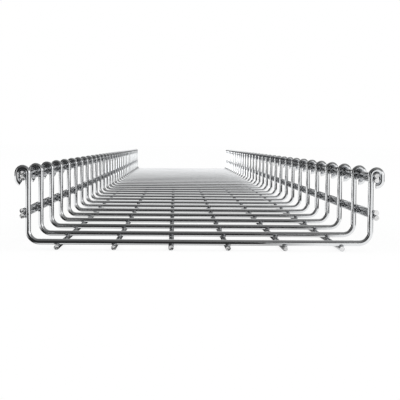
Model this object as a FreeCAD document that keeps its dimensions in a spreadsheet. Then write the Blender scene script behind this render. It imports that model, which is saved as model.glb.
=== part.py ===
import FreeCAD, Part
import math
import os

import Sketcher

# Welded wire cable tray: a long open channel of round steel wire.
# X runs across the tray, Y along it and Z up. The origin is on the ground,
# under the middle of the floor. All lengths are in millimetres.

SIZES = {
    # between the centre lines of the two walls
    "wall_spacing": 300.0,
    # from one cross wire to the next, along the tray
    "cross_pitch": 100.0,
    # from one floor wire to the next, across the tray
    "floor_wire_spacing": 50.0,
    "cross_wire_diameter": 5.0,
    "long_wire_diameter": 4.5,
    # centre line of the bend between floor and wall
    "corner_radius": 10.0,
    # centre of the lower side wire above the ground
    "side_wire_height": 29.5,
    # centre of the upper rim wire above the ground
    "rim_wire_height": 66.75,
    # straight end of the hook, past its last bend
    "hook_tip_length": 1.0,
    # how far the long wires pass the centre of the first and last cross wire
    "wire_overhang": 4.0,
}

CROSS_WIRE_COUNT = 31
FLOOR_WIRE_COUNT = 6
CROSS_WIRE_SIDES = 8

# Each bend is a row of short straight chords that touch the true arc.
CORNER_STEPS = 4
HOOK_STEPS = 6
LEFT_TIP_STEPS = 2
RIGHT_TIP_STEPS = 3
CORNER_STEP_ANGLE = 90.0 / CORNER_STEPS
HOOK_STEP_ANGLE = 180.0 / HOOK_STEPS

# The long wires have one flat for each direction of the hook's chords.
LONG_WIRE_SIDES = 2 * HOOK_STEPS

# The hook wraps the rim wires, and every other crossing touches, so the same
# distance lies between the centre lines wherever two wires meet.
WIRE_CONTACT = "(Sizes.cross_wire_diameter + Sizes.long_wire_diameter) / 2"
FLOOR_RUN_HEIGHT = "Sizes.long_wire_diameter + Sizes.cross_wire_diameter / 2"
OUTER_WIRE_X = f"(Sizes.wall_spacing / 2 + {WIRE_CONTACT})"
TRAY_HALF_RUN = f"{CROSS_WIRE_COUNT - 1} / 2 * Sizes.cross_pitch"

# From the end of an arc to the corner of the chords that touch it.
CORNER_TANGENT = f"Sizes.corner_radius * tan({CORNER_STEP_ANGLE / 2})"
HOOK_TANGENT = f"{WIRE_CONTACT} * tan({HOOK_STEP_ANGLE / 2})"

FLOOR_LEG = f"Sizes.wall_spacing - 2 * Sizes.corner_radius + 2 * {CORNER_TANGENT}"
CORNER_LEG = f"2 * {CORNER_TANGENT}"
WALL_LEG = (
    f"Sizes.rim_wire_height - ({FLOOR_RUN_HEIGHT}) - Sizes.corner_radius"
    f" + {CORNER_TANGENT} + {HOOK_TANGENT}"
)
HOOK_LEG = f"2 * {HOOK_TANGENT}"
OUTER_LEG = f"Sizes.long_wire_diameter + 2 * {HOOK_TANGENT}"
TIP_LEG = f"Sizes.hook_tip_length + {HOOK_TANGENT}"


def make_sheet(doc):
    """Write the driving sizes into the sheet that every sub-part reads."""
    sheet = doc.addObject("Spreadsheet::Sheet", "Sizes")
    for row, (alias, value) in enumerate(SIZES.items(), start=1):
        sheet.set(f"A{row}", alias)
        sheet.set(f"B{row}", str(value))
        sheet.setAlias(f"B{row}", alias)
    doc.recompute()
    return sheet


def evaluate(doc, expression):
    """Return the number that an expression of the sheet gives."""
    return float(doc.getObject("Sizes").evalExpression(expression))


def new_sketch(body, name, plane_role):
    """Add a sketch that lies on one of the body's own origin planes."""
    sketch = body.newObject("Sketcher::SketchObject", name)
    plane = next(item for item in body.Origin.OriginFeatures if item.Role == plane_role)
    sketch.AttachmentSupport = (plane, "")
    sketch.MapMode = "FlatFace"
    return sketch


def bind(sketch, constraint, expression):
    """Add a constraint whose value follows an expression of the sheet."""
    index = sketch.addConstraint(constraint)
    sketch.setExpression(f"Constraints[{index}]", expression)


def draw_section(doc, sketch):
    """Draw the wire's section: a regular polygon, its flats one diameter apart."""
    turn = 2 * math.pi / CROSS_WIRE_SIDES
    circle_diameter = f"Sizes.cross_wire_diameter / cos({180 / CROSS_WIRE_SIDES})"
    radius = evaluate(doc, circle_diameter) / 2
    corners = [
        FreeCAD.Vector(radius * math.cos(turn * (side - 0.5)), radius * math.sin(turn * (side - 0.5)))
        for side in range(CROSS_WIRE_SIDES)
    ]
    for side in range(CROSS_WIRE_SIDES):
        sketch.addGeometry(Part.LineSegment(corners[side], corners[(side + 1) % CROSS_WIRE_SIDES]))
    circle = sketch.addGeometry(Part.Circle(FreeCAD.Vector(), FreeCAD.Vector(0, 0, 1), radius), True)
    sketch.addConstraint(Sketcher.Constraint("Coincident", circle, 3, -1, 1))
    for side in range(CROSS_WIRE_SIDES):
        following = (side + 1) % CROSS_WIRE_SIDES
        sketch.addConstraint(Sketcher.Constraint("Coincident", side, 2, following, 1))
        sketch.addConstraint(Sketcher.Constraint("PointOnObject", side, 1, circle))
        if side > 0:
            sketch.addConstraint(Sketcher.Constraint("Equal", 0, side))
    sketch.addConstraint(Sketcher.Constraint("Vertical", 0))
    bind(sketch, Sketcher.Constraint("Diameter", circle, 2 * radius), circle_diameter)


def wall_and_hook_legs(tip_steps):
    """List the heading and length of each leg from the floor's right end to the tip."""
    legs = [(step * CORNER_STEP_ANGLE, CORNER_LEG) for step in range(1, CORNER_STEPS)]
    legs.append((90.0, WALL_LEG))
    legs += [(90.0 - step * HOOK_STEP_ANGLE, HOOK_LEG) for step in range(1, HOOK_STEPS)]
    legs.append((-90.0, OUTER_LEG))
    legs += [(-90.0 - step * HOOK_STEP_ANGLE, HOOK_LEG) for step in range(1, tip_steps)]
    legs.append((-90.0 - tip_steps * HOOK_STEP_ANGLE, TIP_LEG))
    return legs


def draw_leg(doc, sketch, start, heading, expression):
    """Add one straight leg that starts at a point and runs along its heading."""
    length = evaluate(doc, expression)
    angle = math.radians(heading)
    end = start + FreeCAD.Vector(length * math.cos(angle), length * math.sin(angle))
    line = sketch.addGeometry(Part.LineSegment(start, end))
    bind(sketch, Sketcher.Constraint("Distance", line, length), expression)
    return line, end


def draw_side(doc, sketch, start, floor_end, side, tip_steps):
    """Add a wall with its hook to one end of the floor run: side is 1 or -1."""
    previous, previous_end = 0, floor_end
    for right_heading, expression in wall_and_hook_legs(tip_steps):
        heading = right_heading if side > 0 else 180.0 - right_heading
        line, start = draw_leg(doc, sketch, start, heading, expression)
        sketch.addConstraint(Sketcher.Constraint("Coincident", previous, previous_end, line, 1))
        sketch.addConstraint(Sketcher.Constraint("Angle", line, math.radians(heading)))
        previous, previous_end = line, 2


def draw_route(doc, sketch):
    """Draw the centre line of a cross wire, from hook to hook through the floor."""
    half_floor = FreeCAD.Vector(evaluate(doc, FLOOR_LEG) / 2, 0)
    floor, floor_end = draw_leg(doc, sketch, FreeCAD.Vector() - half_floor, 0.0, FLOOR_LEG)
    sketch.addConstraint(Sketcher.Constraint("Horizontal", floor))
    sketch.addConstraint(Sketcher.Constraint("Symmetric", floor, 1, floor, 2, -1, 1))
    draw_side(doc, sketch, FreeCAD.Vector() - half_floor, 1, -1, LEFT_TIP_STEPS)
    draw_side(doc, sketch, floor_end, 2, 1, RIGHT_TIP_STEPS)


def make_first_cross_wire(doc, label):
    """Bend one wire into floor, walls and hooks by sweeping its section."""
    body = doc.addObject("PartDesign::Body", label)
    section = new_sketch(body, f"{label}_section", "YZ_Plane")
    draw_section(doc, section)
    route = new_sketch(body, f"{label}_route", "XZ_Plane")
    draw_route(doc, route)
    pipe = body.newObject("PartDesign::AdditivePipe", f"{label}_pipe")
    pipe.Profile = section
    pipe.Spine = (route, [])
    pipe.Transition = "Right corner"
    body.Tip = pipe
    return body


def make_cross_wire_copy(doc, label, original):
    """Add a further cross wire that follows the first one's shape."""
    body = doc.addObject("PartDesign::Body", label)
    shape = body.newObject("PartDesign::FeatureBase", f"{label}_shape")
    shape.BaseFeature = original
    body.Tip = shape
    return body


def make_cross_wires(doc):
    """Stand the cross wires in a row, one pitch apart."""
    wires = []
    for index in range(CROSS_WIRE_COUNT):
        label = f"cross_wire_{index + 1:02d}"
        if index == 0:
            wire = make_first_cross_wire(doc, label)
        else:
            wire = make_cross_wire_copy(doc, label, wires[0])
        wire.setExpression("Placement.Base.y", f"{index} * Sizes.cross_pitch - {TRAY_HALF_RUN}")
        wire.setExpression("Placement.Base.z", FLOOR_RUN_HEIGHT)
        wires.append(wire)
    return wires


def make_long_wire(doc, label, place_x, place_z):
    """Lay one straight wire along the tray, its flats towards its neighbours."""
    wire = doc.addObject("Part::Prism", label)
    wire.Polygon = LONG_WIRE_SIDES
    half_side = 180.0 / LONG_WIRE_SIDES
    along_tray = FreeCAD.Rotation(FreeCAD.Vector(1, 0, 0), -90)
    flats_level = FreeCAD.Rotation(FreeCAD.Vector(0, 0, 1), half_side)
    wire.Placement = FreeCAD.Placement(FreeCAD.Vector(), along_tray.multiply(flats_level))
    half_length = f"({TRAY_HALF_RUN} + Sizes.wire_overhang)"
    wire.setExpression("Circumradius", f"Sizes.long_wire_diameter / 2 / cos({half_side})")
    wire.setExpression("Height", f"2 * {half_length}")
    wire.setExpression("Placement.Base.x", place_x)
    wire.setExpression("Placement.Base.y", f"-{half_length}")
    wire.setExpression("Placement.Base.z", place_z)
    return wire


def make_floor_wires(doc):
    """Lay the floor wires on the ground, evenly spaced about the middle."""
    wires = []
    for index in range(FLOOR_WIRE_COUNT):
        place = index - (FLOOR_WIRE_COUNT - 1) / 2
        wires.append(make_long_wire(
            doc,
            f"floor_wire_{index + 1}",
            f"{place} * Sizes.floor_wire_spacing",
            "Sizes.long_wire_diameter / 2",
        ))
    return wires


def make_outer_pairs(doc):
    """Lay the side pairs against the walls and the rim pairs inside the hooks."""
    heights = {
        "side_wire_{}_lower": "Sizes.side_wire_height",
        "side_wire_{}_upper": "Sizes.side_wire_height + Sizes.long_wire_diameter",
        "rim_wire_{}_lower": "Sizes.rim_wire_height - Sizes.long_wire_diameter",
        "rim_wire_{}_upper": "Sizes.rim_wire_height",
    }
    wires = []
    for side, sign in (("left", "-"), ("right", "")):
        for name, height in heights.items():
            wires.append(make_long_wire(doc, name.format(side), f"{sign}{OUTER_WIRE_X}", height))
    return wires


def check(doc, parts):
    """Stop if any object of the document failed or any sub-part is no sound solid."""
    for item in doc.Objects:
        if "Invalid" in item.State or "Error" in item.State:
            raise RuntimeError(f"{item.Label} failed: {item.State}")
    for part in parts:
        shape = part.Shape
        if shape.isNull() or not shape.isValid() or len(shape.Solids) != 1:
            raise RuntimeError(f"{part.Label} is not one valid solid")


doc = FreeCAD.newDocument("wire_cable_tray")
make_sheet(doc)
parts = make_cross_wires(doc) + make_floor_wires(doc) + make_outer_pairs(doc)
doc.recompute()
check(doc, parts)

os.makedirs("parts", exist_ok=True)
for part in parts:
    part.Shape.exportStep(os.path.join("parts", f"{part.Label}.step"))
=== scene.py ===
import math
import random

import bpy
import numpy as np
from bpy.props import FloatProperty, FloatVectorProperty, IntProperty, PointerProperty
from mathutils import Matrix, Vector


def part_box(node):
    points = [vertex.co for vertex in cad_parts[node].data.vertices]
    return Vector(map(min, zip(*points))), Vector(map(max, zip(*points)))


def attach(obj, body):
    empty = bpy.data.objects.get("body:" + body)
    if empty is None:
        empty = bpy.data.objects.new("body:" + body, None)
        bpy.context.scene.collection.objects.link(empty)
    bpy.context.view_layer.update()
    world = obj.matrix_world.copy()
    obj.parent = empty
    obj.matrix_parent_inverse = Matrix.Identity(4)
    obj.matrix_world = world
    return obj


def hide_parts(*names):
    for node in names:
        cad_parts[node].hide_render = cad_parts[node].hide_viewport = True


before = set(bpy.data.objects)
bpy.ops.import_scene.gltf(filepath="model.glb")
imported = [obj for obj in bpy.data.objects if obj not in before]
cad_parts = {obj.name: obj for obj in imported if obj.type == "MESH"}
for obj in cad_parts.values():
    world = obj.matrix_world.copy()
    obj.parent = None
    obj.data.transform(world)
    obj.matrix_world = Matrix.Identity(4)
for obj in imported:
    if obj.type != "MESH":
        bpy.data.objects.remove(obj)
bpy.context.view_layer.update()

bl_info = {
    "name": "Wire mesh cable basket",
    "version": (1, 0, 0),
    "blender": (4, 5, 0),
    "location": "3D View > Sidebar > Wire basket",
    "description": "Builds the round wires, welds and cut ends of a welded mesh cable basket",
    "category": "Object",
}

MM = 0.001
SEED = 4107

WHITE = (1.0, 1.0, 1.0, 1.0)

# The long wires show less wear than the cross wires.
LONG_WIRE_WEAR = 0.35

# Each wire or weld reads its own stretch of the noise, this many metres past the last one.
CROSS_WIRE_NOISE_STEP = 1.0
LONG_WIRE_NOISE_STEP = 7.0
WELD_NOISE_STEP = 0.5

# How far a sheared face leans, in millimetres, and how far a hook's curl strays, in degrees.
CUT_LEAN = (0.1, 0.45)
LEFT_CURL_SPREAD = (-3.0, 6.0)
RIGHT_CURL_SPREAD = (-5.0, 2.0)

# Past this many reaches, the dark tint round a weld or hook tip, heat tint and painted shade,
# leaves no mark.
HEAT_RANGE = 4.0

SHARP_ANGLE = math.radians(38)
ARC_STEP = math.radians(9)

# Where a wire gets extra rings near a weld, and how far they keep from a run's and a cut's end.
NEAR_WELD = [offset * MM for offset in (-5.0, -3.0, -1.5, 0.0, 1.5, 3.0, 5.0)]
STATION_MARGIN = 0.4 * MM
CUT_END_MARGIN = 2 * MM

CROSS_WIRES = sorted(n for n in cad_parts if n.startswith("cross_wire_"))
FLOOR_WIRES = sorted(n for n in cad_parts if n.startswith("floor_wire_"))
SIDE_WIRES = sorted(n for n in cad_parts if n.startswith("side_wire_"))
RIM_WIRES = sorted(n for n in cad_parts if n.startswith("rim_wire_"))
LONG_WIRES = FLOOR_WIRES + SIDE_WIRES + RIM_WIRES


# What the frame says

def centre(node):
    """The middle of a node's box."""
    low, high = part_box(node)
    return (low + high) / 2


def extent(node):
    """The size of a node's box along x, y and z."""
    low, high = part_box(node)
    return high - low


FIRST_CROSS = CROSS_WIRES[0]
CROSS_DIAMETER = extent(FIRST_CROSS).y
LONG_DIAMETER = extent(FLOOR_WIRES[0]).z
RIM_UPPER = centre("rim_wire_right_upper")
RIM_LOWER = centre("rim_wire_right_lower")
HOOK_RADIUS = (CROSS_DIAMETER + LONG_DIAMETER) / 2
WALL_X = RIM_UPPER.x - HOOK_RADIUS
FLOOR_RUN_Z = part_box(FIRST_CROSS)[0].z + CROSS_DIAMETER / 2


# Sizes and colours that a user changes

class WireSizes(bpy.types.PropertyGroup):
    """Sizes of the round wires, their bends, ends and welds."""

    cross_diameter: FloatProperty(
        name="Cross wire", description="Diameter of the bent cross wires",
        default=CROSS_DIAMETER, min=1 * MM, subtype="DISTANCE", unit="LENGTH")
    long_diameter: FloatProperty(
        name="Long wire", description="Diameter of the straight long wires",
        default=LONG_DIAMETER, min=1 * MM, subtype="DISTANCE", unit="LENGTH")
    corner_radius: FloatProperty(
        name="Corner radius",
        description="Radius of the bend between floor and wall, on the wire's centre line",
        default=10 * MM, min=3 * MM, subtype="DISTANCE", unit="LENGTH")
    left_curl: FloatProperty(
        name="Left curl", description="How far a left hook curls in under the lower rim wire",
        default=math.radians(60), min=0.0, max=math.radians(120), subtype="ANGLE", unit="ROTATION")
    right_curl: FloatProperty(
        name="Right curl", description="How far a right hook curls in under the lower rim wire",
        default=math.radians(90), min=0.0, max=math.radians(120), subtype="ANGLE", unit="ROTATION")
    tip_length: FloatProperty(
        name="Tip", description="Straight tip after the curl of a hook",
        default=1 * MM, min=0.0, subtype="DISTANCE", unit="LENGTH")
    edge_roll: FloatProperty(
        name="Rolled edge", description="How far the shears roll over the edge of a cut end",
        default=0.45 * MM, min=0.0, subtype="DISTANCE", unit="LENGTH")
    weld_reach: FloatProperty(
        name="Weld reach",
        description="How far a weld's collar reaches from the point where two wires touch",
        default=1.7 * MM, min=0.5 * MM, subtype="DISTANCE", unit="LENGTH")
    weld_height: FloatProperty(
        name="Weld height", description="Half the thickness of a weld's collar",
        default=0.7 * MM, min=0.2 * MM, subtype="DISTANCE", unit="LENGTH")
    weld_hug: FloatProperty(
        name="Weld hug", description="How far the collar bends round both wires, like a saddle",
        default=0.5 * MM, min=0.0, subtype="DISTANCE", unit="LENGTH")
    weld_lean: FloatProperty(
        name="Weld lean", description="How far the collars under the floor bulge out to the right",
        default=0.6 * MM, min=0.0, subtype="DISTANCE", unit="LENGTH")
    sides: IntProperty(
        name="Sides", description="Number of sides around each wire", default=16, min=8, max=32)


class WireFinish(bpy.types.PropertyGroup):
    """Colours and surface of the bright drawn wire."""

    cross_colour: FloatVectorProperty(
        name="Cross wire", description="Colour of the bent cross wires", subtype="COLOR",
        default=(0.78, 0.79, 0.80), min=0.0, max=1.0)
    # The long wires are the same steel as the cross wires; their darker colour is painted shade for
    # their dark reflections.
    long_colour_with_painted_shade: FloatVectorProperty(
        name="Long wire", description="Colour of the straight long wires", subtype="COLOR",
        default=(0.50, 0.51, 0.53), min=0.0, max=1.0)
    cut_colour: FloatVectorProperty(
        name="Cut face", description="Colour of the freshly sheared wire ends", subtype="COLOR",
        default=(0.82, 0.82, 0.82), min=0.0, max=1.0)
    # Dark tint round the welds and hook tips: heat tint at the welds, painted shade there and at
    # the tips. The weld's scale and pits take it too.
    heat_and_painted_shade_colour: FloatVectorProperty(
        name="Weld heat", description="Colour that the weld's heat leaves on the wire",
        subtype="COLOR", default=(0.30, 0.29, 0.28), min=0.0, max=1.0)
    roughness: FloatProperty(
        name="Roughness", description="Roughness of the clean wire",
        default=0.07, min=0.0, max=1.0, subtype="FACTOR")
    draw_lines: FloatProperty(
        name="Draw lines", description="Depth of the fine lines that drawing leaves along the wire",
        default=0.018 * MM, min=0.0, subtype="DISTANCE", unit="LENGTH")


class Studio(bpy.types.PropertyGroup):
    """Camera, floor, background and lamps."""

    camera_place: FloatVectorProperty(
        name="Camera", description="Where the camera stands", subtype="TRANSLATION", unit="LENGTH",
        default=(-0.0217, -2.5504, 0.0938))
    camera_turn: FloatProperty(
        name="Turn", description="Turn of the view towards the right wall",
        default=math.radians(1.19), subtype="ANGLE", unit="ROTATION")
    camera_dip: FloatProperty(
        name="Dip", description="Dip of the view below the horizon",
        default=math.radians(2.70), subtype="ANGLE", unit="ROTATION")
    camera_roll: FloatProperty(
        name="Roll", description="Roll of the camera, right side up",
        default=math.radians(0.42), subtype="ANGLE", unit="ROTATION")
    focal_length: FloatProperty(
        name="Focal length", description="Focal length in millimetres on a 36 mm sensor",
        default=108.1, min=10.0, max=400.0)
    floor_colour: FloatVectorProperty(
        name="Floor", description="Colour of the plain floor", subtype="COLOR",
        default=(0.97, 0.97, 0.97), min=0.0, max=1.0)
    shadow_share: FloatProperty(
        name="Shadow share",
        description="Share of the floor's own lit colour, which holds the shadow",
        default=0.18, min=0.0, max=1.0, subtype="FACTOR")
    ambient: FloatProperty(
        name="Ambient", description="Strength of the white surroundings as a light",
        default=1.0, min=0.0)
    softbox_power: FloatProperty(
        name="Softbox", description="Power of each large soft lamp",
        default=5.0, min=0.0, unit="POWER")


# Node trees written as expressions

class Number:
    """A number in a node tree. An expression on it adds the Math nodes that work it out."""

    def __init__(self, graph, socket):
        self.graph = graph
        self.socket = socket

    def __add__(self, other):
        return self.graph.maths("ADD", self, other)

    def __sub__(self, other):
        return self.graph.maths("SUBTRACT", self, other)

    def __rsub__(self, other):
        return self.graph.maths("SUBTRACT", other, self)

    def __mul__(self, other):
        return self.graph.maths("MULTIPLY", self, other)

    __radd__ = __add__
    __rmul__ = __mul__

    def at_least(self, other):
        return self.graph.maths("MAXIMUM", self, other)

    def __abs__(self):
        return self.graph.maths("ABSOLUTE", self)


class Graph:
    """Adds nodes to one node tree."""

    def __init__(self, owner):
        owner.use_nodes = True
        self.tree = owner.node_tree
        self.tree.nodes.clear()

    def add(self, kind, settings=None, sockets=None):
        """Adds a node: its settings first, then its sockets' values or links, by name or number."""
        node = self.tree.nodes.new(kind)
        for key, value in (settings or {}).items():
            if key == "stops":
                self.set_stops(node.color_ramp, value)
            else:
                setattr(node, key, value)
        for key, value in (sockets or {}).items():
            self.fill(node.inputs[key], value)
        return node

    def set_stops(self, ramp, stops):
        while len(ramp.elements) < len(stops):
            ramp.elements.new(0.5)
        for element, (place, grey) in zip(ramp.elements, stops):
            element.position = place
            element.color = (grey, grey, grey, 1.0)

    def fill(self, socket, value):
        if isinstance(value, Number):
            self.tree.links.new(value.socket, socket)
        elif isinstance(value, bpy.types.NodeSocket):
            self.tree.links.new(value, socket)
        else:
            socket.default_value = value

    def maths(self, operation, *values):
        node = self.add("ShaderNodeMath", {"operation": operation}, dict(enumerate(values)))
        return Number(self, node.outputs[0])

    def number(self, node, output):
        return Number(self, node.outputs[output])

    def mix_colour(self, share, first, second):
        """Blends two colours by a share."""
        node = self.add(
            "ShaderNodeMix", {"data_type": "RGBA", "clamp_factor": True},
            {0: share, 6: first, 7: second})
        return node.outputs[2]

    def stretched(self, vector, factors):
        """Multiplies a vector's three parts by plain numbers."""
        node = self.add(
            "ShaderNodeVectorMath", {"operation": "MULTIPLY"}, {0: vector, 1: factors})
        return node.outputs[0]

    def noise(self, vector, scale, detail=2.0, roughness=0.5):
        node = self.add(
            "ShaderNodeTexNoise", {"noise_dimensions": "3D"},
            {"Vector": vector, "Scale": scale, "Detail": detail, "Roughness": roughness})
        return self.number(node, "Fac")

    def ramp(self, value, stops):
        node = self.add("ShaderNodeValToRGB", {"stops": stops}, {"Fac": value})
        return self.number(node, "Color")

    def rise(self, value, start, stop):
        """0 up to start, 1 from stop on, and straight between them."""
        return self.ramp(value, [(start, 0.0), (stop, 1.0)])

    def attribute(self, name):
        return self.add(
            "ShaderNodeAttribute", {"attribute_type": "GEOMETRY", "attribute_name": name})

    def bump(self, height, distance, strength, normal=None):
        sockets = {"Height": height, "Distance": distance, "Strength": strength}
        if normal is not None:
            sockets["Normal"] = normal
        return self.add("ShaderNodeBump", None, sockets).outputs["Normal"]


def opaque(colour, share=1.0):
    """A colour property as a node colour, made darker by a share."""
    return (*[part * share for part in colour], 1.0)


def new_material(name, preview):
    material = bpy.data.materials.new(name)
    material.diffuse_color = opaque(preview)
    return material, Graph(material)


def close_metal(graph, colour, roughness, normal, metallic=1.0):
    """Ends a tree in a bare metal surface."""
    shader = graph.add("ShaderNodeBsdfPrincipled", None, {
        "Base Color": colour, "Roughness": roughness, "Metallic": metallic, "Normal": normal})
    graph.add("ShaderNodeOutputMaterial", None, {"Surface": shader.outputs[0]})


def drawn_wire_material(name, colour, finish, wear=1.0):
    """Bright drawn wire: lines along it, dull clouds, handling marks, and a dark tint round each
    weld and hook tip that is partly heat tint and partly painted shade.

    wear is the share of its handling marks and of its uneven surface.
    """
    material, graph = new_material(name, colour)
    along = graph.attribute("wire_place").outputs["Vector"]
    heat = graph.number(graph.attribute("weld_heat"), "Fac")
    fine = graph.noise(
        graph.stretched(along, (1.0, 1.0, 0.012)), scale=2600.0, detail=3.0, roughness=0.6)
    broad = graph.noise(
        graph.stretched(along, (1.0, 1.0, 0.05)), scale=420.0, detail=2.0, roughness=0.5)
    clouds = graph.noise(
        graph.stretched(along, (1.0, 1.0, 0.2)), scale=95.0, detail=3.0, roughness=0.6)
    wobble = graph.noise(
        graph.stretched(along, (1.0, 1.0, 0.08)), scale=60.0, detail=1.0, roughness=0.4)
    grain = graph.noise(along, scale=900.0, detail=2.0)
    dust = graph.noise(along, scale=1500.0, detail=2.0, roughness=0.7)
    specks = graph.rise(dust, 0.62, 0.74)
    dull = graph.rise(clouds, 0.42, 0.68)
    lines = graph.rise(fine, 0.35, 0.70)
    # Dark tint round welds and hook tips: partly heat tint, partly painted shade; at the hook tips
    # it is only painted shade.
    heat_and_painted_shade_mask = graph.rise(heat * (0.55 + broad * 0.9), 0.18, 0.85)
    shade = graph.mix_colour(lines * 0.5, opaque(colour, 1.06), opaque(colour, 0.90))
    shade = graph.mix_colour(dull * 0.3, shade, opaque(colour, 0.86))
    shade = graph.mix_colour(specks * (0.3 * wear), shade, opaque(colour, 0.66))
    shade = graph.mix_colour(heat_and_painted_shade_mask * 0.5, shade, opaque(finish.heat_and_painted_shade_colour))
    roughness = finish.roughness + lines * 0.03 + dull * 0.04 + specks * 0.05 + heat_and_painted_shade_mask * 0.10
    normal = graph.bump(wobble, distance=0.25 * MM, strength=0.4 * wear)
    normal = graph.bump(
        fine + broad * 1.5, distance=finish.draw_lines, strength=0.6 * wear, normal=normal)
    normal = graph.bump(heat_and_painted_shade_mask * grain, distance=0.05 * MM, strength=0.6, normal=normal)
    close_metal(graph, shade, roughness, normal)
    return material


def cut_face_material(name, finish):
    """A sheared wire end: a smooth band where the blade cut and a torn, matt rest."""
    material, graph = new_material(name, finish.cut_colour)
    place = graph.attribute("wire_place").outputs["Vector"]
    torn = graph.noise(place, scale=1400.0, detail=4.0, roughness=0.65)
    lines = graph.noise(graph.stretched(place, (0.15, 1.0, 1.0)), scale=3200.0, detail=2.0)
    patch = graph.rise(graph.noise(place, scale=380.0, detail=1.0), 0.42, 0.56)
    shade = graph.mix_colour(
        torn * 0.5, opaque(finish.cut_colour, 1.1), opaque(finish.cut_colour, 0.8))
    roughness = 0.20 + patch * 0.30 + torn * 0.06
    normal = graph.bump(torn * patch + lines * 0.3, distance=0.06 * MM, strength=0.6)
    close_metal(graph, shade, roughness, normal, metallic=0.92 - patch * 0.55)
    return material


def weld_material(name, finish):
    """Squeezed-out weld metal, its colour brighter than the wire's as a painted highlight, with
    darker, rougher scale in its hollows.
    """
    material, graph = new_material(name, finish.cross_colour)
    place = graph.attribute("wire_place").outputs["Vector"]
    scaly = graph.noise(place, scale=700.0, detail=4.0, roughness=0.65)
    pits = graph.rise(graph.noise(place, scale=1900.0, detail=2.0, roughness=0.6), 0.55, 0.72)
    dark = graph.rise(scaly, 0.40, 0.66)
    # The weld's colour is brighter than the wire's: painted highlight for bright spots at the
    # crossings.
    shade = graph.mix_colour(
        dark * 0.35, opaque(finish.cross_colour, 1.15), opaque(finish.heat_and_painted_shade_colour, 1.6))
    shade = graph.mix_colour(pits * 0.3, shade, opaque(finish.heat_and_painted_shade_colour))
    roughness = 0.14 + dark * 0.10 + pits * 0.12
    normal = graph.bump(scaly + pits * 0.4, distance=0.08 * MM, strength=0.5)
    close_metal(graph, shade, roughness, normal, metallic=0.55)
    return material


# Meshes

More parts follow.
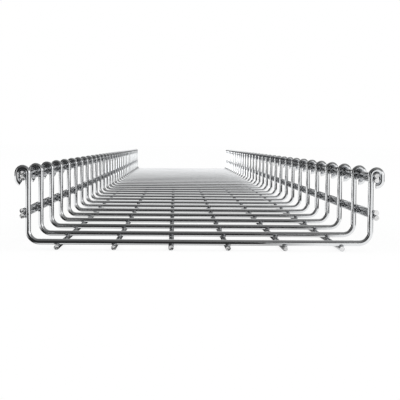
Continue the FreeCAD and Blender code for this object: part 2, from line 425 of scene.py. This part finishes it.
class Tubes:
    """Gathers swept wires, with their caps and surface values, into one mesh."""

    # A sheared end, as shares of the wire's radius, the roll of its edge and the lean of its face.
    # A pair is an even part and a part that grows towards the side where the blade came in.
    SHOULDER_DEPTH = (0.35, 1.1)
    EDGE_INSET = (0.04, 0.12)
    EDGE_DEPTH = 0.10
    INNER_RADIUS = 0.55
    INNER_DEPTH = 0.02
    INNER_LEAN = (0.25, 0.5)
    MIDDLE_LEAN = 0.5

    def __init__(self, sides):
        self.sides = sides
        self.points = []
        self.places = []
        self.faces = []
        self.cut_faces = []
        self.count = 0

    def ring(self, middle, across, up, radius, along, spread=None):
        """Adds one ring of points.

        spread gives each point its own scale and its own step along the wire.
        """
        angles = np.arange(self.sides) * (2 * math.pi / self.sides)
        scale, step = np.ones(self.sides), np.zeros(self.sides)
        if spread is not None:
            scale, step = spread(angles)
        forward = np.cross(across, up)
        points = (
            middle
            + np.outer(np.cos(angles) * radius * scale, across)
            + np.outer(np.sin(angles) * radius * scale, up)
            + np.outer(step, forward))
        self.points.append(points)
        self.places.append(np.column_stack([
            np.cos(angles) * radius * scale, np.sin(angles) * radius * scale, along + step]))
        first = self.count
        self.count += self.sides
        return first

    def join(self, first, second, cut=False):
        """Adds the faces between two rings."""
        for k in range(self.sides):
            after = (k + 1) % self.sides
            face = (first + k, first + after, second + after, second + k)
            (self.cut_faces if cut else self.faces).append(face)

    def close(self, ring, middle, along, backwards):
        """Closes a ring with a fan to one point in its middle."""
        self.points.append(np.array([middle]))
        self.places.append(np.array([[0.0, 0.0, along]]))
        tip = self.count
        self.count += 1
        for k in range(self.sides):
            after = (k + 1) % self.sides
            face = (ring + k, ring + after, tip)
            self.cut_faces.append(face[::-1] if backwards else face)

    def end(self, middle, across, up, radius, along, roll, turn, lean, backwards):
        """Adds a sheared end: an edge rolled over on one side and a face that leans a little."""
        sign = -1.0 if backwards else 1.0

        def one_side(angles):
            return (1.0 - np.cos(angles - turn)) / 2

        def shoulder(angles):
            even, grown = self.SHOULDER_DEPTH
            return np.ones(self.sides), -sign * roll * (even + grown * one_side(angles))

        def edge(angles):
            even, grown = self.EDGE_INSET
            side = one_side(angles)
            step = -sign * (self.EDGE_DEPTH * roll + lean * side)
            return 1.0 - (even + grown * side), step

        def inner(angles):
            even, grown = self.INNER_LEAN
            side = one_side(angles)
            step = -sign * (self.INNER_DEPTH * roll + lean * (even + grown * side))
            return np.full(self.sides, self.INNER_RADIUS), step

        rings = [
            self.ring(middle, across, up, radius, along, shoulder),
            self.ring(middle, across, up, radius, along, edge),
            self.ring(middle, across, up, radius, along, inner)]
        tip = middle - np.cross(across, up) * sign * lean * self.MIDDLE_LEAN
        if backwards:
            self.join(rings[1], rings[0])
            self.join(rings[2], rings[1], cut=True)
        else:
            self.join(rings[0], rings[1])
            self.join(rings[1], rings[2], cut=True)
        self.close(rings[2], tip, along, backwards)
        return rings[0]

    def wire(self, stations, across, radius, start, roll, random_end):
        """Sweeps a wire along its stations, points in one plane square to the across direction."""
        middles = np.array(stations)
        steps = np.linalg.norm(np.diff(middles, axis=0), axis=1)
        along = start + np.concatenate([[0.0], np.cumsum(steps)])
        tangents = np.gradient(middles, along, axis=0)
        tangents[0] = middles[1] - middles[0]
        tangents[-1] = middles[-1] - middles[-2]
        tangents /= np.linalg.norm(tangents, axis=1)[:, None]
        across = np.array(across, float)
        ups = np.cross(tangents, across)
        before = self.end(
            middles[0], across, ups[0], radius, along[0], roll,
            random_end.uniform(0, 2 * math.pi), random_end.uniform(*CUT_LEAN) * MM, True)
        for k in range(1, len(middles) - 1):
            now = self.ring(middles[k], across, ups[k], radius, along[k])
            self.join(before, now)
            before = now
        last = self.end(
            middles[-1], across, ups[-1], radius, along[-1], roll,
            random_end.uniform(0, 2 * math.pi), random_end.uniform(*CUT_LEAN) * MM, False)
        self.join(before, last)

    def piece(self, name, materials, contacts, reach):
        """Makes the object, with the dark tint of the nearest weld or hook tip at each point: heat
        tint and painted shade.
        """
        points = np.concatenate(self.points)
        places = np.concatenate(self.places)
        mesh = bpy.data.meshes.new(name)
        mesh.from_pydata(points.tolist(), [], self.faces + self.cut_faces)
        place = mesh.attributes.new("wire_place", "FLOAT_VECTOR", "POINT")
        place.data.foreach_set("vector", places.astype(np.float32).ravel())
        heat = mesh.attributes.new("weld_heat", "FLOAT", "POINT")
        heat.data.foreach_set("value", heat_and_painted_shade_at(points, contacts, reach).astype(np.float32))
        for material in materials:
            mesh.materials.append(material)
        cut = np.zeros(len(mesh.polygons), np.int32)
        cut[len(self.faces):] = 1
        mesh.polygons.foreach_set("material_index", cut)
        mesh.shade_smooth()
        mesh.set_sharp_from_angle(angle=SHARP_ANGLE)
        mesh.validate()
        mesh.update()
        piece = bpy.data.objects.new(name, mesh)
        bpy.context.scene.collection.objects.link(piece)
        return piece


def heat_and_painted_shade_at(points, contacts, reach):
    """How near each point is to a weld or hook tip, for the dark tint of heat and painted shade: 1
    at its middle, falling to 0.
    """
    nearest = np.full(len(points), np.inf)
    for contact in contacts:
        close = np.abs(points[:, 1] - contact[1]) < HEAT_RANGE * reach
        gap = points[close] - np.array(contact)
        nearest[close] = np.minimum(nearest[close], (gap ** 2).sum(1))
    return np.exp(-nearest / reach ** 2)


def between(start, end, marks):
    """Places along a run from start to end, close together near each mark."""
    low, high = min(start, end), max(start, end)
    places = {start, end}
    for mark in marks:
        for offset in NEAR_WELD:
            if low + STATION_MARGIN < mark + offset < high - STATION_MARGIN:
                places.add(mark + offset)
    return sorted(places, reverse=start > end)


def arc(middle_x, middle_z, radius, start, end):
    """Points of an arc, without its first one."""
    count = max(2, round(abs(end - start) / ARC_STEP))
    angles = [start + (end - start) * k / count for k in range(1, count + 1)]
    return [(middle_x + radius * math.cos(a), middle_z + radius * math.sin(a)) for a in angles]


def half_route(sizes, curl):
    """The right half of a cross wire's centre line, from the floor's middle to the hook's tip."""
    corner = sizes.corner_radius
    floor_marks = [centre(n).x for n in FLOOR_WIRES if centre(n).x > 0]
    wall_marks = [centre(n).z for n in SIDE_WIRES + RIM_WIRES if centre(n).x > 0]
    middle_x = WALL_X + HOOK_RADIUS
    quarter = math.pi / 2
    route = [(x, FLOOR_RUN_Z) for x in between(0.0, WALL_X - corner, floor_marks)]
    route += arc(WALL_X - corner, FLOOR_RUN_Z + corner, corner, -quarter, 0.0)
    wall = between(FLOOR_RUN_Z + corner, RIM_UPPER.z, wall_marks)
    route += [(WALL_X, z) for z in wall[1:]]
    route += arc(middle_x, RIM_UPPER.z, HOOK_RADIUS, 2 * quarter, 0.0)
    route.append((middle_x + HOOK_RADIUS, RIM_LOWER.z))
    route += arc(middle_x, RIM_LOWER.z, HOOK_RADIUS, 0.0, -curl)
    end_x, end_z = route[-1]
    tip = sizes.tip_length
    route.append((end_x - tip * math.sin(curl), end_z - tip * math.cos(curl)))
    return route


def contact_points():
    """Where each long wire touches each cross wire, with the direction towards the long wire."""
    found = []
    for cross in CROSS_WIRES:
        y = centre(cross).y
        for wire in LONG_WIRES:
            middle = centre(wire)
            if wire in FLOOR_WIRES:
                found.append(((middle.x, y, FLOOR_RUN_Z - CROSS_DIAMETER / 2), (0.0, 0.0, -1.0)))
            else:
                side = math.copysign(1.0, middle.x)
                touch_x = side * (WALL_X + CROSS_DIAMETER / 2)
                found.append(((touch_x, y, middle.z), (side, 0.0, 0.0)))
    return found


def long_wires(name, nodes, sizes, finish, seed):
    """Builds a group of long wires as one piece that stands for their nodes."""
    shears = random.Random(seed)
    tubes = Tubes(sizes.sides)
    marks = [centre(n).y for n in CROSS_WIRES]
    for number, node in enumerate(nodes):
        low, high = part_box(node)
        middle = centre(node)
        places = [
            p for p in between(low.y, high.y, marks)
            if low.y + CUT_END_MARGIN < p < high.y - CUT_END_MARGIN or p in (low.y, high.y)]
        stations = [(middle.x, p, middle.z) for p in places]
        tubes.wire(
            stations, (1.0, 0.0, 0.0), sizes.long_diameter / 2,
            LONG_WIRE_NOISE_STEP * number, sizes.edge_roll, shears)
    # The long wires' darker colour is painted shade.
    materials = [
        drawn_wire_material(name + "_steel", finish.long_colour_with_painted_shade, finish, LONG_WIRE_WEAR),
        cut_face_material(name + "_cut_steel", finish)]
    contacts = [point for point, _ in contact_points()]
    piece = tubes.piece(name, materials, contacts, sizes.weld_reach)
    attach(piece, "root")
    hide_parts(*nodes)


# Operators

class BASKET_OT_cross_wires(bpy.types.Operator):
    """Build the bent cross wires with their corners, hooks and sheared tips"""

    bl_idname = "basket.cross_wires"
    bl_label = "Cross wires"

    def execute(self, context):
        sizes, finish = context.scene.basket_sizes, context.scene.basket_finish
        hands = random.Random(SEED)
        tubes = Tubes(sizes.sides)
        tips = []
        for number, node in enumerate(CROSS_WIRES):
            y = centre(node).y
            left_curl = sizes.left_curl + math.radians(hands.uniform(*LEFT_CURL_SPREAD))
            right_curl = sizes.right_curl + math.radians(hands.uniform(*RIGHT_CURL_SPREAD))
            left = half_route(sizes, left_curl)
            right = half_route(sizes, right_curl)
            route = [(-x, z) for x, z in left[:0:-1]] + right
            stations = [(x, y, z) for x, z in route]
            tubes.wire(
                stations, (0.0, 1.0, 0.0), sizes.cross_diameter / 2,
                CROSS_WIRE_NOISE_STEP * number, sizes.edge_roll, hands)
            # The hook tips take the weld's dark tint too, though no weld is there: painted shade.
            tips += [stations[0], stations[-1]]
        materials = [
            drawn_wire_material("cross_wire_steel", finish.cross_colour, finish),
            cut_face_material("cross_wire_cut_steel", finish)]
        contacts = [point for point, _ in contact_points()]
        # The tips among the contacts give painted shade round each hook tip.
        piece = tubes.piece("cross_wires", materials, contacts + tips, sizes.weld_reach)
        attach(piece, "root")
        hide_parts(*CROSS_WIRES)
        return {"FINISHED"}


class BASKET_OT_floor_wires(bpy.types.Operator):
    """Build the straight wires under the floor"""

    bl_idname = "basket.floor_wires"
    bl_label = "Floor wires"

    def execute(self, context):
        sizes, finish = context.scene.basket_sizes, context.scene.basket_finish
        long_wires("floor_wires", FLOOR_WIRES, sizes, finish, SEED + 1)
        return {"FINISHED"}


class BASKET_OT_side_wires(bpy.types.Operator):
    """Build the stacked pairs of wires at the walls' mid height"""

    bl_idname = "basket.side_wires"
    bl_label = "Side wires"

    def execute(self, context):
        sizes, finish = context.scene.basket_sizes, context.scene.basket_finish
        long_wires("side_wires", SIDE_WIRES, sizes, finish, SEED + 2)
        return {"FINISHED"}


class BASKET_OT_rim_wires(bpy.types.Operator):
    """Build the stacked pairs of wires that the hooks wrap"""

    bl_idname = "basket.rim_wires"
    bl_label = "Rim wires"

    def execute(self, context):
        sizes, finish = context.scene.basket_sizes, context.scene.basket_finish
        long_wires("rim_wires", RIM_WIRES, sizes, finish, SEED + 3)
        return {"FINISHED"}


class BASKET_OT_welds(bpy.types.Operator):
    """Build the collar of squeezed-out metal at every crossing"""

    bl_idname = "basket.welds"
    bl_label = "Welds"

    AROUND = 14
    BANDS = 5
    # How much the collars differ: shares of reach and height, and the size of the waves round each.
    REACH_SPREAD = (0.88, 1.06)
    HEIGHT_SPREAD = (0.85, 1.1)
    WAVES = (2, 3, 5)
    WAVE_SIZE = (0.02, 0.06)
    # Below 1, a collar's rim is blunter than that of a ball.
    BLUNTNESS = 0.75

    def execute(self, context):
        sizes, finish = context.scene.basket_sizes, context.scene.basket_finish
        hands = random.Random(SEED + 4)
        points, places, faces = [], [], []
        for number, (contact, normal) in enumerate(contact_points()):
            self.add_collar(
                points, places, faces, Vector(contact), Vector(normal), number, sizes, hands)
        mesh = bpy.data.meshes.new("welds")
        mesh.from_pydata(points, [], faces)
        place = mesh.attributes.new("wire_place", "FLOAT_VECTOR", "POINT")
        place.data.foreach_set("vector", np.array(places, np.float32).ravel())
        mesh.materials.append(weld_material("weld_steel", finish))
        mesh.shade_smooth()
        mesh.validate()
        mesh.update()
        piece = bpy.data.objects.new("welds", mesh)
        context.scene.collection.objects.link(piece)
        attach(piece, "root")
        return {"FINISHED"}

    def add_collar(self, points, places, faces, contact, normal, number, sizes, hands):
        """Adds one lens of weld metal that bends round both wires and is never quite round."""
        along = Vector((0.0, 1.0, 0.0))
        beside = normal.cross(along)
        first = len(points)
        reach = sizes.weld_reach * hands.uniform(*self.REACH_SPREAD)
        height = sizes.weld_height * hands.uniform(*self.HEIGHT_SPREAD)
        waves = [
            (n, hands.uniform(*self.WAVE_SIZE), hands.uniform(0, 2 * math.pi))
            for n in self.WAVES]

        def put(place):
            points.append(tuple(contact + place))
            places.append(tuple(place + Vector((0.0, 0.0, WELD_NOISE_STEP * number))))

        under_floor = normal.z < -0.5
        if under_floor:
            contact = contact + Vector((sizes.weld_lean, 0.0, 0.0))
        put(normal * height)
        for band in range(1, self.BANDS):
            polar = math.pi * band / self.BANDS
            for k in range(self.AROUND):
                angle = 2 * math.pi * k / self.AROUND
                wave = 1.0 + sum(size * math.sin(n * angle + turn) for n, size, turn in waves)
                width = reach * wave * math.sin(polar) ** self.BLUNTNESS
                hug = -sizes.weld_hug * math.cos(2 * angle) * (width / reach) ** 2
                put(along * (width * math.cos(angle)) + beside * (width * math.sin(angle))
                    + normal * (height * math.cos(polar) + hug))
        put(normal * -height)
        last = len(points) - 1
        for k in range(self.AROUND):
            after = (k + 1) % self.AROUND
            faces.append((first, first + 1 + k, first + 1 + after))
            for band in range(self.BANDS - 2):
                row = first + 1 + band * self.AROUND
                below = row + self.AROUND
                faces.append((row + k, below + k, below + after, row + after))
            row = first + 1 + (self.BANDS - 2) * self.AROUND
            faces.append((row + after, row + k, last))


def level_sheet(left, right, start, stop, height):
    """Corners of a level rectangle."""
    return [
        (left, start, height), (right, start, height),
        (right, stop, height), (left, stop, height)]


def upright_sheet(x, start, stop, low, high):
    """Corners of an upright rectangle along the tray."""
    return [(x, start, low), (x, stop, low), (x, stop, high), (x, start, high)]


class BASKET_OT_stage(bpy.types.Operator):
    """Set up the camera, the plain floor, the white surroundings, the lamps and the cards"""

    bl_idname = "basket.stage"
    bl_label = "Stage"

    FLOOR_HALF = 40.0
    SENSOR_WIDTH = 36.0
    CLIP_START, CLIP_END = 0.05, 200.0

    # Each lamp's name, place, the point it faces, its width and its height.
    LAMPS = (
        ("softbox_left", (-2.4, -0.9, 1.0), (0.0, 0.2, 0.05), 2.6, 1.6),
        ("softbox_right", (2.2, -1.6, 1.0), (0.0, 0.0, 0.05), 2.0, 1.6))

    # The room of cards: its near end, where its ceiling stops rising, its far end, and the card
    # that stands past it. LOW and HIGH are the ceiling's heights.
    NEAR, RISE_TO, FAR, FAR_CARD = -2.7, -1.0, 2.4, 3.0
    LOW, HIGH = 0.6, 0.72
    CEILING_HALF = 1.3

    # Brightness of the dark cards, and of the sheen that the floor cards give. Overhead, a pair is
    # the darkest value and what is added to the right, or towards the strip's far end.
    BEHIND_CAMERA, LEFT_SIDE, RIGHT_SIDE, FAR_END = 0.02, 0.09, 0.12, 0.05
    OVERHEAD = (0.11, 0.15)
    OVERHEAD_STRIP = (0.95, 0.6)
    SHEEN = 0.03

    # The softbox cards' name, place across the tray, start along it, and strength.
    SOFTBOX_CARDS = (
        ("softbox_card_left", -0.65, -0.3, 1.6),
        ("softbox_card_right", 0.65, 0.35, 0.7))
    SOFTBOX_HEIGHT = 0.3
    SOFTBOX_GAIN = 1.2

    # The floor cards lie just above the floor. Some lie under the tray, from its front on.
    CARD_LEVEL = 0.3 * MM
    UNDER_TRAY = 0.19
    TRAY_FRONT = -1.52

    # The cards under the tray: name, where the sheen starts and is full (0 is square on, 1 is
    # edge on), where it ends on the right, and where the card starts and stops along the tray.
    CARDS_UNDER_TRAY = (
        ("floor_card_first_wire", 0.04, 0.14, (0.060, 0.105), TRAY_FRONT, -1.45),
        ("floor_card_next_wires", 0.04, 0.14, (0.112, 0.142), -1.45, -0.95),
        ("floor_card_middle_wires", 0.20, 0.38, (0.112, 0.142), -0.95, 0.0),
        ("floor_card_far_wires", 0.45, 0.65, (0.112, 0.142), 0.0, 1.6))

    # Under the tray, the sheen sets in over the first of these stretches. Left of the second one
    # it loses a share of its lowest angles.
    SHEEN_LEFT = (-0.19, -0.16)
    LOWEST_LEFT = (-0.145, -0.125)
    LOWEST_ANGLES = (0.80, 0.90)
    LOWEST_LOSS = 0.7

    def execute(self, context):
        studio = context.scene.basket_studio
        self.set_camera(context, studio)
        self.set_world(context, studio)
        self.set_floor(context, studio)
        self.set_lamps(context, studio)
        self.set_cards(context)
        context.scene.view_settings.view_transform = "Standard"
        return {"FINISHED"}

    def set_camera(self, context, studio):
        data = bpy.data.cameras.new("photo_camera")
        data.lens = studio.focal_length
        data.sensor_width = self.SENSOR_WIDTH
        data.clip_start = self.CLIP_START
        data.clip_end = self.CLIP_END
        camera = bpy.data.objects.new("photo_camera", data)
        context.scene.collection.objects.link(camera)
        turn, dip, roll = studio.camera_turn, studio.camera_dip, studio.camera_roll
        forward = Vector((
            math.sin(turn) * math.cos(dip), math.cos(turn) * math.cos(dip), -math.sin(dip)))
        right = Vector((math.cos(turn), -math.sin(turn), 0.0))
        up = right.cross(forward)
        right, up = (
            right * math.cos(roll) + up * math.sin(roll),
            up * math.cos(roll) - right * math.sin(roll))
        turned = Matrix((right, up, -forward)).transposed()
        camera.matrix_world = Matrix.Translation(Vector(studio.camera_place)) @ turned.to_4x4()
        context.scene.camera = camera

    def seen(self, graph):
        """1 for camera, glossy and transmission rays, and 0 for the rays that carry light."""
        path = graph.add("ShaderNodeLightPath")
        direct = graph.number(path, "Is Camera Ray")
        glossy = graph.number(path, "Is Glossy Ray")
        through = graph.number(path, "Is Transmission Ray")
        return direct.at_least(glossy).at_least(through)

    def set_world(self, context, studio):
        world = bpy.data.worlds.new("white_surroundings")
        graph = Graph(world)
        seen = self.seen(graph)
        strength = studio.ambient + seen * (1.0 - studio.ambient)
        background = graph.add("ShaderNodeBackground", None, {"Color": WHITE, "Strength": strength})
        graph.add("ShaderNodeOutputWorld", None, {"Surface": background.outputs[0]})
        context.scene.world = world

    def set_floor(self, context, studio):
        material, graph = new_material("pale_floor", studio.floor_colour)
        lit = graph.add("ShaderNodeBsdfDiffuse", None, {"Color": opaque(studio.floor_colour)})
        share = self.seen(graph) * (1.0 - studio.shadow_share)
        blend = graph.add("ShaderNodeMixShader", None, {
            0: share, 1: lit.outputs[0], 2: self.glow(graph, 1.0)})
        graph.add("ShaderNodeOutputMaterial", None, {"Surface": blend.outputs[0]})
        half = self.FLOOR_HALF
        floor = level_sheet(-half, half, -half, half, 0.0)
        self.add_sheet(context, "studio_floor", [floor], material)

    def add_sheet(self, context, name, sheets, material):
        """Adds one or more flat sheets as one stage object."""
        corners, faces = [], []
        for sheet in sheets:
            faces.append(tuple(range(len(corners), len(corners) + len(sheet))))
            corners += sheet
        mesh = bpy.data.meshes.new(name)
        mesh.from_pydata(corners, [], faces)
        mesh.materials.append(material)
        sheet = bpy.data.objects.new(name, mesh)
        context.scene.collection.objects.link(sheet)
        return sheet

    def set_lamps(self, context, studio):
        for name, place, target, width, height in self.LAMPS:
            data = bpy.data.lights.new(name, "AREA")
            data.shape = "RECTANGLE"
            data.size = width
            data.size_y = height
            data.energy = studio.softbox_power
            lamp = bpy.data.objects.new(name, data)
            lamp.location = place
            facing = Vector(target) - Vector(place)
            lamp.rotation_euler = facing.to_track_quat("-Z", "Y").to_euler()
            context.scene.collection.objects.link(lamp)

    def set_cards(self, context):
        """Cards that only the bright wire reflects, as photographers set them round metal."""
        self.set_room_cards(context)
        self.set_softbox_cards(context)
        self.set_floor_cards(context)

    def set_room_cards(self, context):
        """Dark cards behind the camera, overhead, on both sides and past the far end."""
        near, rise_to, far, end = self.NEAR, self.RISE_TO, self.FAR, self.FAR_CARD
        low, high, wide = self.LOW, self.HIGH, self.CEILING_HALF
        self.add_card(context, "card_behind_camera", self.plain(self.BEHIND_CAMERA), [
            [(-0.95, near, 0.0), (0.22, near, 0.0), (0.22, near, 0.03), (0.335, near, 0.05),
             (0.335, near, low), (-0.95, near, low)]])
        self.add_card(context, "card_overhead", self.overhead, [
            [(-wide, near, low), (wide, near, low), (wide, rise_to, high), (-wide, rise_to, high)],
            level_sheet(-wide, wide, rise_to, far, high)])
        self.add_card(context, "card_left_side", self.plain(self.LEFT_SIDE), [
            [(-1.8, near, 0.0), (-1.8, 0.2, 0.0), (-1.5, 0.2, 0.25), (-1.5, near, 0.25)],
            [(-1.5, near, 0.25), (-1.5, far, 0.25), (-wide, far, high), (-wide, rise_to, high),
             (-wide, near, low)]])
        self.add_card(context, "card_right_side", self.plain(self.RIGHT_SIDE), [
            upright_sheet(1.2, -1.3, 0.8, 0.0, 0.1),
            [(1.2, -1.3, 0.1), (1.2, far, 0.1), (wide, far, high), (wide, rise_to, high),
             (wide, -1.3, 0.69)]])
        self.add_card(context, "card_far_end", self.plain(self.FAR_END), [
            [(-0.75, end, 0.0), (0.85, end, 0.0), (0.85, end, 0.42), (0.2, end, 0.75),
             (0.1, end, 1.0), (-0.1, end, 1.0), (-0.2, end, 0.75), (-0.75, end, 0.42)]])

    def set_softbox_cards(self, context):
        """A light card beside each wall's far half."""
        for name, x, start, strength in self.SOFTBOX_CARDS:
            self.add_card(context, name, self.far_softbox(strength), [
                upright_sheet(x, start, self.FAR, 0.0, self.SOFTBOX_HEIGHT)])

    def set_floor_cards(self, context):
        """Cards on the floor in front of the tray, under it and on its right."""
        level, side, front = self.CARD_LEVEL, self.UNDER_TRAY, self.TRAY_FRONT
        self.add_card(context, "floor_card_front", self.low_angles(0.04, 0.14), [
            [(-0.95, self.NEAR, level), (0.06, self.NEAR, level), (0.06, front, level),
             (-side, front, level)]])
        for name, first, full, right_edge, start, stop in self.CARDS_UNDER_TRAY:
            self.add_card(context, name, self.low_angles(first, full, right_edge), [
                level_sheet(-side, side, start, stop, level)])
        under = level / 2
        self.add_card(context, "floor_card_right", self.low_angles(0.84, 0.92), [
            [(0.12, front, under), (side, front, under), (0.2, -1.43, under), (1.2, -1.43, under),
             (1.2, 0.4, under), (0.12, 0.4, under)]])

    def glow(self, graph, strength):
        """A surface of one plain brightness."""
        return graph.add(
            "ShaderNodeEmission", None, {"Color": WHITE, "Strength": strength}).outputs[0]

    def plain(self, grey):
        """A card of one grey."""
        return lambda graph: self.glow(graph, grey)

    def place_on(self, graph):
        """The place on a card, in metres, as two numbers."""
        place = graph.add("ShaderNodeSeparateXYZ", None, {
            0: graph.add("ShaderNodeTexCoord").outputs["Object"]})
        return graph.number(place, "X"), graph.number(place, "Y")

    def far_softbox(self, strength):
        """A softbox beside the far half, brighter towards its far end."""
        def surface(graph):
            y = self.place_on(graph)[1]
            far_share = graph.rise(y * 0.5, 0.1, 0.5)
            return self.glow(graph, strength + far_share * (self.SOFTBOX_GAIN * strength))
        return surface

    def overhead(self, graph):
        """The card overhead: darker on the left, with a light strip along the middle."""
        x, y = self.place_on(graph)
        dark, added = self.OVERHEAD
        ground = dark + graph.rise(x * 2.0 + 0.3, 0.0, 1.0) * added
        across = graph.ramp(abs(x), [(0.28, 1.0), (0.48, 0.0)])
        along = graph.ramp((y + 1.4) * 0.25, [
            (0.0, 0.0), (0.30, 0.62), (0.60, 1.0), (0.85, 0.6), (0.95, 0.1)])
        strip = across * along
        near_end, added = self.OVERHEAD_STRIP
        peak = near_end + graph.rise(y * 0.5, 0.1, 0.6) * added
        return self.glow(graph, ground + strip * (peak - ground))

    def low_angles(self, first, full, right_edge=None):
        """A card on the floor that shows only at low angles, as a dark sheen does.

        With a right edge, it also fades out on both sides under the tray.
        """
        def surface(graph):
            weight = graph.add("ShaderNodeLayerWeight", None, {"Blend": 0.5})
            facing = graph.number(weight, "Facing")
            share = graph.rise(facing, first, full)
            if right_edge:
                # A ramp runs from 0 to 1, so its middle stands for the middle of the tray.
                middle = 0.5
                x = self.place_on(graph)[0] + middle
                edges = [middle + edge for edge in self.SHEEN_LEFT + right_edge]
                sides = graph.ramp(x, list(zip(edges, (0.0, 1.0, 1.0, 0.0))))
                edges = [middle + edge for edge in self.LOWEST_LEFT]
                left = graph.ramp(x, list(zip(edges, (1.0, 0.0))))
                lowest = graph.ramp(facing, list(zip(self.LOWEST_ANGLES, (0.0, self.LOWEST_LOSS))))
                share = share * sides * (1.0 - left * lowest)
            clear = graph.add("ShaderNodeBsdfTransparent")
            return graph.add("ShaderNodeMixShader", None, {
                0: share, 1: clear.outputs[0], 2: self.glow(graph, self.SHEEN)}).outputs[0]
        return surface

    def add_card(self, context, name, surface, sheets):
        """Adds a card whose surface is made by a function of its node tree."""
        material, graph = new_material(name, (0.1, 0.1, 0.1))
        graph.add("ShaderNodeOutputMaterial", None, {"Surface": surface(graph)})
        card = self.add_sheet(context, name, sheets, material)
        card.visible_camera = False
        card.visible_diffuse = False
        card.visible_transmission = False
        card.visible_volume_scatter = False
        card.visible_shadow = False


OPERATORS = (
    BASKET_OT_cross_wires,
    BASKET_OT_floor_wires,
    BASKET_OT_side_wires,
    BASKET_OT_rim_wires,
    BASKET_OT_welds,
    BASKET_OT_stage,
)


class BASKET_PT_panel(bpy.types.Panel):
    """Sizes, finish and stage of the wire basket, and the buttons that build it"""

    bl_idname = "BASKET_PT_panel"
    bl_label = "Wire mesh cable basket"
    bl_space_type = "VIEW_3D"
    bl_region_type = "UI"
    bl_category = "Wire basket"

    def draw(self, context):
        layout = self.layout
        scene = context.scene
        for group in (scene.basket_sizes, scene.basket_finish, scene.basket_studio):
            column = layout.column(align=True)
            for name in group.__annotations__:
                column.prop(group, name)
        column = layout.column(align=True)
        for operator in OPERATORS:
            column.operator(operator.bl_idname)


GROUPS = (WireSizes, WireFinish, Studio)


def register():
    for group in GROUPS:
        bpy.utils.register_class(group)
    bpy.types.Scene.basket_sizes = PointerProperty(type=WireSizes)
    bpy.types.Scene.basket_finish = PointerProperty(type=WireFinish)
    bpy.types.Scene.basket_studio = PointerProperty(type=Studio)
    for operator in OPERATORS:
        bpy.utils.register_class(operator)
    bpy.utils.register_class(BASKET_PT_panel)


def unregister():
    bpy.utils.unregister_class(BASKET_PT_panel)
    for operator in reversed(OPERATORS):
        bpy.utils.unregister_class(operator)
    del bpy.types.Scene.basket_studio
    del bpy.types.Scene.basket_finish
    del bpy.types.Scene.basket_sizes
    for group in reversed(GROUPS):
        bpy.utils.unregister_class(group)


def main():
    register()
    bpy.ops.basket.cross_wires()
    bpy.ops.basket.floor_wires()
    bpy.ops.basket.side_wires()
    bpy.ops.basket.rim_wires()
    bpy.ops.basket.welds()
    bpy.ops.basket.stage()


if __name__ == "__main__":
    main()
